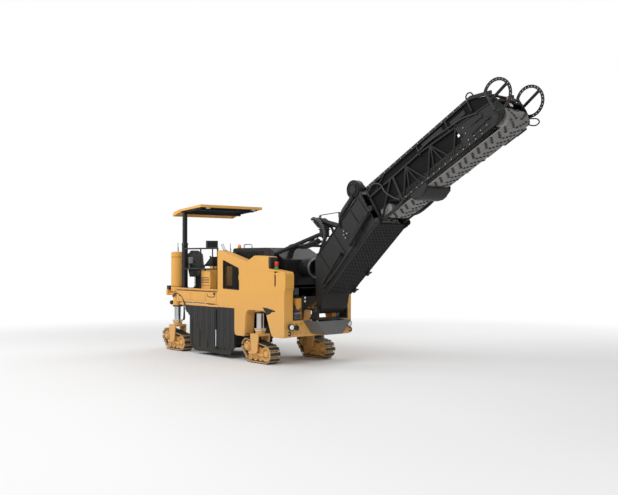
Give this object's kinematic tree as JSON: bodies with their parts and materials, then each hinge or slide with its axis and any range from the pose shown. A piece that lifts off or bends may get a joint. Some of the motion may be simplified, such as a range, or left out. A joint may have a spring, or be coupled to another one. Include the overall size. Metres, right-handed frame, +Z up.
{
  "type": "cold planer milling machine",
  "caption": "Compact road cold planer on steered tracks, with a lifting hood, a drop-down canopy and a folding, slewing loading conveyor.",
  "frame": {"origin": "middle of the machine's bounding box in X and Y, on the ground plane under the tracks", "axes": "+X forward, towards the conveyor's head; +Y to the machine's left; +Z up"},
  "size_m": [10.5888, 2, 5.4826],
  "materials": {
    "yellow_paint": "semi-gloss yellow machine enamel",
    "black_paint": "satin black machine enamel",
    "grey_paint": "satin dark grey enamel",
    "hard_chrome": "ground and hard chromed",
    "track_rubber": "moulded, with steel-backed pads",
    "conveyor_belt": "moulded chevron belt, dusty",
    "seat_vinyl": "grained black vinyl",
    "cutter_steel": "forged and worn steel",
    "engine_iron": "cast and painted"
  },
  "bodies": {
    "chassis": {"belt_drive_cover": "black_paint", "control_console": "black_paint", "conveyor_gantry": "black_paint", "drum_housing": "black_paint", "engine_block": "engine_iron", "engine_cowl": "black_paint", "handrail_l": "black_paint", "handrail_r": "black_paint", "leg_housing_rl": "yellow_paint", "leg_housing_rr": "yellow_paint", "main_frame": "yellow_paint", "mast_socket": "black_paint", "operator_deck": "yellow_paint", "operator_seat": "seat_vinyl", "primary_conveyor": "black_paint", "rear_bumper": "yellow_paint", "scraper": "black_paint", "side_panel_l": "yellow_paint", "side_panel_r": "yellow_paint", "slew_bracket": "grey_paint", "suction_duct": "grey_paint"},
    "leg_fl": {"leg_column_fl": "hard_chrome", "track_frame_fl": "yellow_paint", "track_belt_fl": "track_rubber"},
    "leg_fr": {"leg_column_fr": "hard_chrome", "track_frame_fr": "yellow_paint", "track_belt_fr": "track_rubber"},
    "leg_rl": {"leg_column_rl": "hard_chrome", "track_frame_rl": "yellow_paint", "track_belt_rl": "track_rubber"},
    "leg_rr": {"leg_column_rr": "hard_chrome", "track_frame_rr": "yellow_paint", "track_belt_rr": "track_rubber"},
    "drum": {"milling_drum": "cutter_steel"},
    "side_plate_right": {"drum_side_plate_r": "black_paint"},
    "side_plate_left": {"drum_side_plate_l": "black_paint"},
    "hood": {"engine_hood": "black_paint"},
    "slew": {"slew_turntable": "black_paint", "slew_head": "black_paint"},
    "lower_section": {"conveyor_lower": "black_paint", "belt_lower": "conveyor_belt", "dust_blower": "black_paint"},
    "luff_barrel": {"luff_barrel": "black_paint"},
    "luff_rod": {"luff_rod": "hard_chrome"},
    "upper_section": {"conveyor_upper": "black_paint", "belt_upper": "conveyor_belt"},
    "fold_barrel_left": {"fold_barrel_l": "black_paint"},
    "fold_rod_left": {"fold_rod_l": "hard_chrome"},
    "fold_barrel_right": {"fold_barrel_r": "black_paint"},
    "fold_rod_right": {"fold_rod_r": "hard_chrome"},
    "canopy": {"canopy_mast": "black_paint", "canopy_roof": "yellow_paint"}
  },
  "joints": [
    {"name": "steer_fl", "type": "hinge", "parent": "chassis", "child": "leg_fl", "pos_m": [-1.25571, 0.827, 0.8], "axis": [0, 0, 1], "range_deg": [-30, 30]},
    {"name": "steer_fr", "type": "hinge", "parent": "chassis", "child": "leg_fr", "pos_m": [-1.25571, -0.827, 0.8], "axis": [0, 0, 1], "range_deg": [-30, 30]},
    {"name": "steer_rl", "type": "hinge", "parent": "chassis", "child": "leg_rl", "pos_m": [-4.75571, 0.827, 0.8], "axis": [0, 0, 1], "range_deg": [-30, 30]},
    {"name": "steer_rr", "type": "hinge", "parent": "chassis", "child": "leg_rr", "pos_m": [-4.75571, -0.827, 0.8], "axis": [0, 0, 1], "range_deg": [-30, 30]},
    {"name": "drum_spin", "type": "hinge", "parent": "chassis", "child": "drum", "pos_m": [-3.00571, -0.27, 0.56], "axis": [0, 1, 0], "continuous": true},
    {"name": "side_plate_right_lift", "type": "slide", "parent": "chassis", "child": "side_plate_right", "axis": [0, 0, 1], "range_m": [0, 0.25]},
    {"name": "side_plate_left_lift", "type": "slide", "parent": "chassis", "child": "side_plate_left", "axis": [0, 0, 1], "range_m": [0, 0.25]},
    {"name": "hood_lift", "type": "hinge", "parent": "chassis", "child": "hood", "pos_m": [-2.63571, 0, 2.3], "axis": [0, -1, 0], "range_deg": [0, 60]},
    {"name": "conveyor_slew", "type": "hinge", "parent": "chassis", "child": "slew", "pos_m": [-0.00571, 0, 1.03], "axis": [0, 0, 1], "range_deg": [-60, 60]},
    {"name": "conveyor_luff", "type": "hinge", "parent": "slew", "child": "lower_section", "pos_m": [0.19429, 0, 1.25], "axis": [0, -1, 0], "range_deg": [-12, 4]},
    {"name": "luff_barrel_tilt", "type": "hinge", "parent": "slew", "child": "luff_barrel", "pos_m": [-0.25571, 0, 3.22], "axis": [0, -1, 0], "range_deg": [-2.68, 0.97]},
    {"name": "luff_rod_stroke", "type": "slide", "parent": "luff_barrel", "child": "luff_rod", "axis": [0.9769, 0, -0.2139], "range_m": [-0.12933, 0.38398]},
    {"name": "conveyor_fold", "type": "hinge", "parent": "lower_section", "child": "upper_section", "pos_m": [2.07425, 0, 3.10016], "axis": [0, 1, 0], "range_deg": [0, 60]},
    {"name": "fold_barrel_left_tilt", "type": "hinge", "parent": "lower_section", "child": "fold_barrel_left", "pos_m": [1.34469, 0.5, 2.65001], "axis": [0, 1, 0], "range_deg": [-0.11, 11.42]},
    {"name": "fold_rod_left_stroke", "type": "slide", "parent": "fold_barrel_left", "child": "fold_rod_left", "axis": [0.6447, 0, 0.7644], "range_m": [-0.002, 0.21699]},
    {"name": "fold_barrel_right_tilt", "type": "hinge", "parent": "lower_section", "child": "fold_barrel_right", "pos_m": [1.34469, -0.5, 2.65001], "axis": [0, 1, 0], "range_deg": [-0.11, 11.42]},
    {"name": "fold_rod_right_stroke", "type": "slide", "parent": "fold_barrel_right", "child": "fold_rod_right", "axis": [0.6447, 0, 0.7644], "range_m": [-0.002, 0.21699]},
    {"name": "canopy_drop", "type": "slide", "parent": "chassis", "child": "canopy", "axis": [0, 0, 1], "range_m": [-0.7, 0]}
  ],
  "couplings": [
    {"joint": "steer_fr", "follows": "steer_fl", "ratio": 1},
    {"joint": "steer_rr", "follows": "steer_rl", "ratio": 1},
    {"joint": "luff_barrel_tilt", "follows": "conveyor_luff", "ratio": 0.2138},
    {"joint": "luff_rod_stroke", "follows": "conveyor_luff", "m_per_rad": -1.8238},
    {"joint": "fold_barrel_left_tilt", "follows": "conveyor_fold", "ratio": 0.1885},
    {"joint": "fold_rod_left_stroke", "follows": "conveyor_fold", "m_per_rad": 0.2053},
    {"joint": "fold_barrel_right_tilt", "follows": "conveyor_fold", "ratio": 0.1885},
    {"joint": "fold_rod_right_stroke", "follows": "conveyor_fold", "m_per_rad": 0.2053}
  ]
}
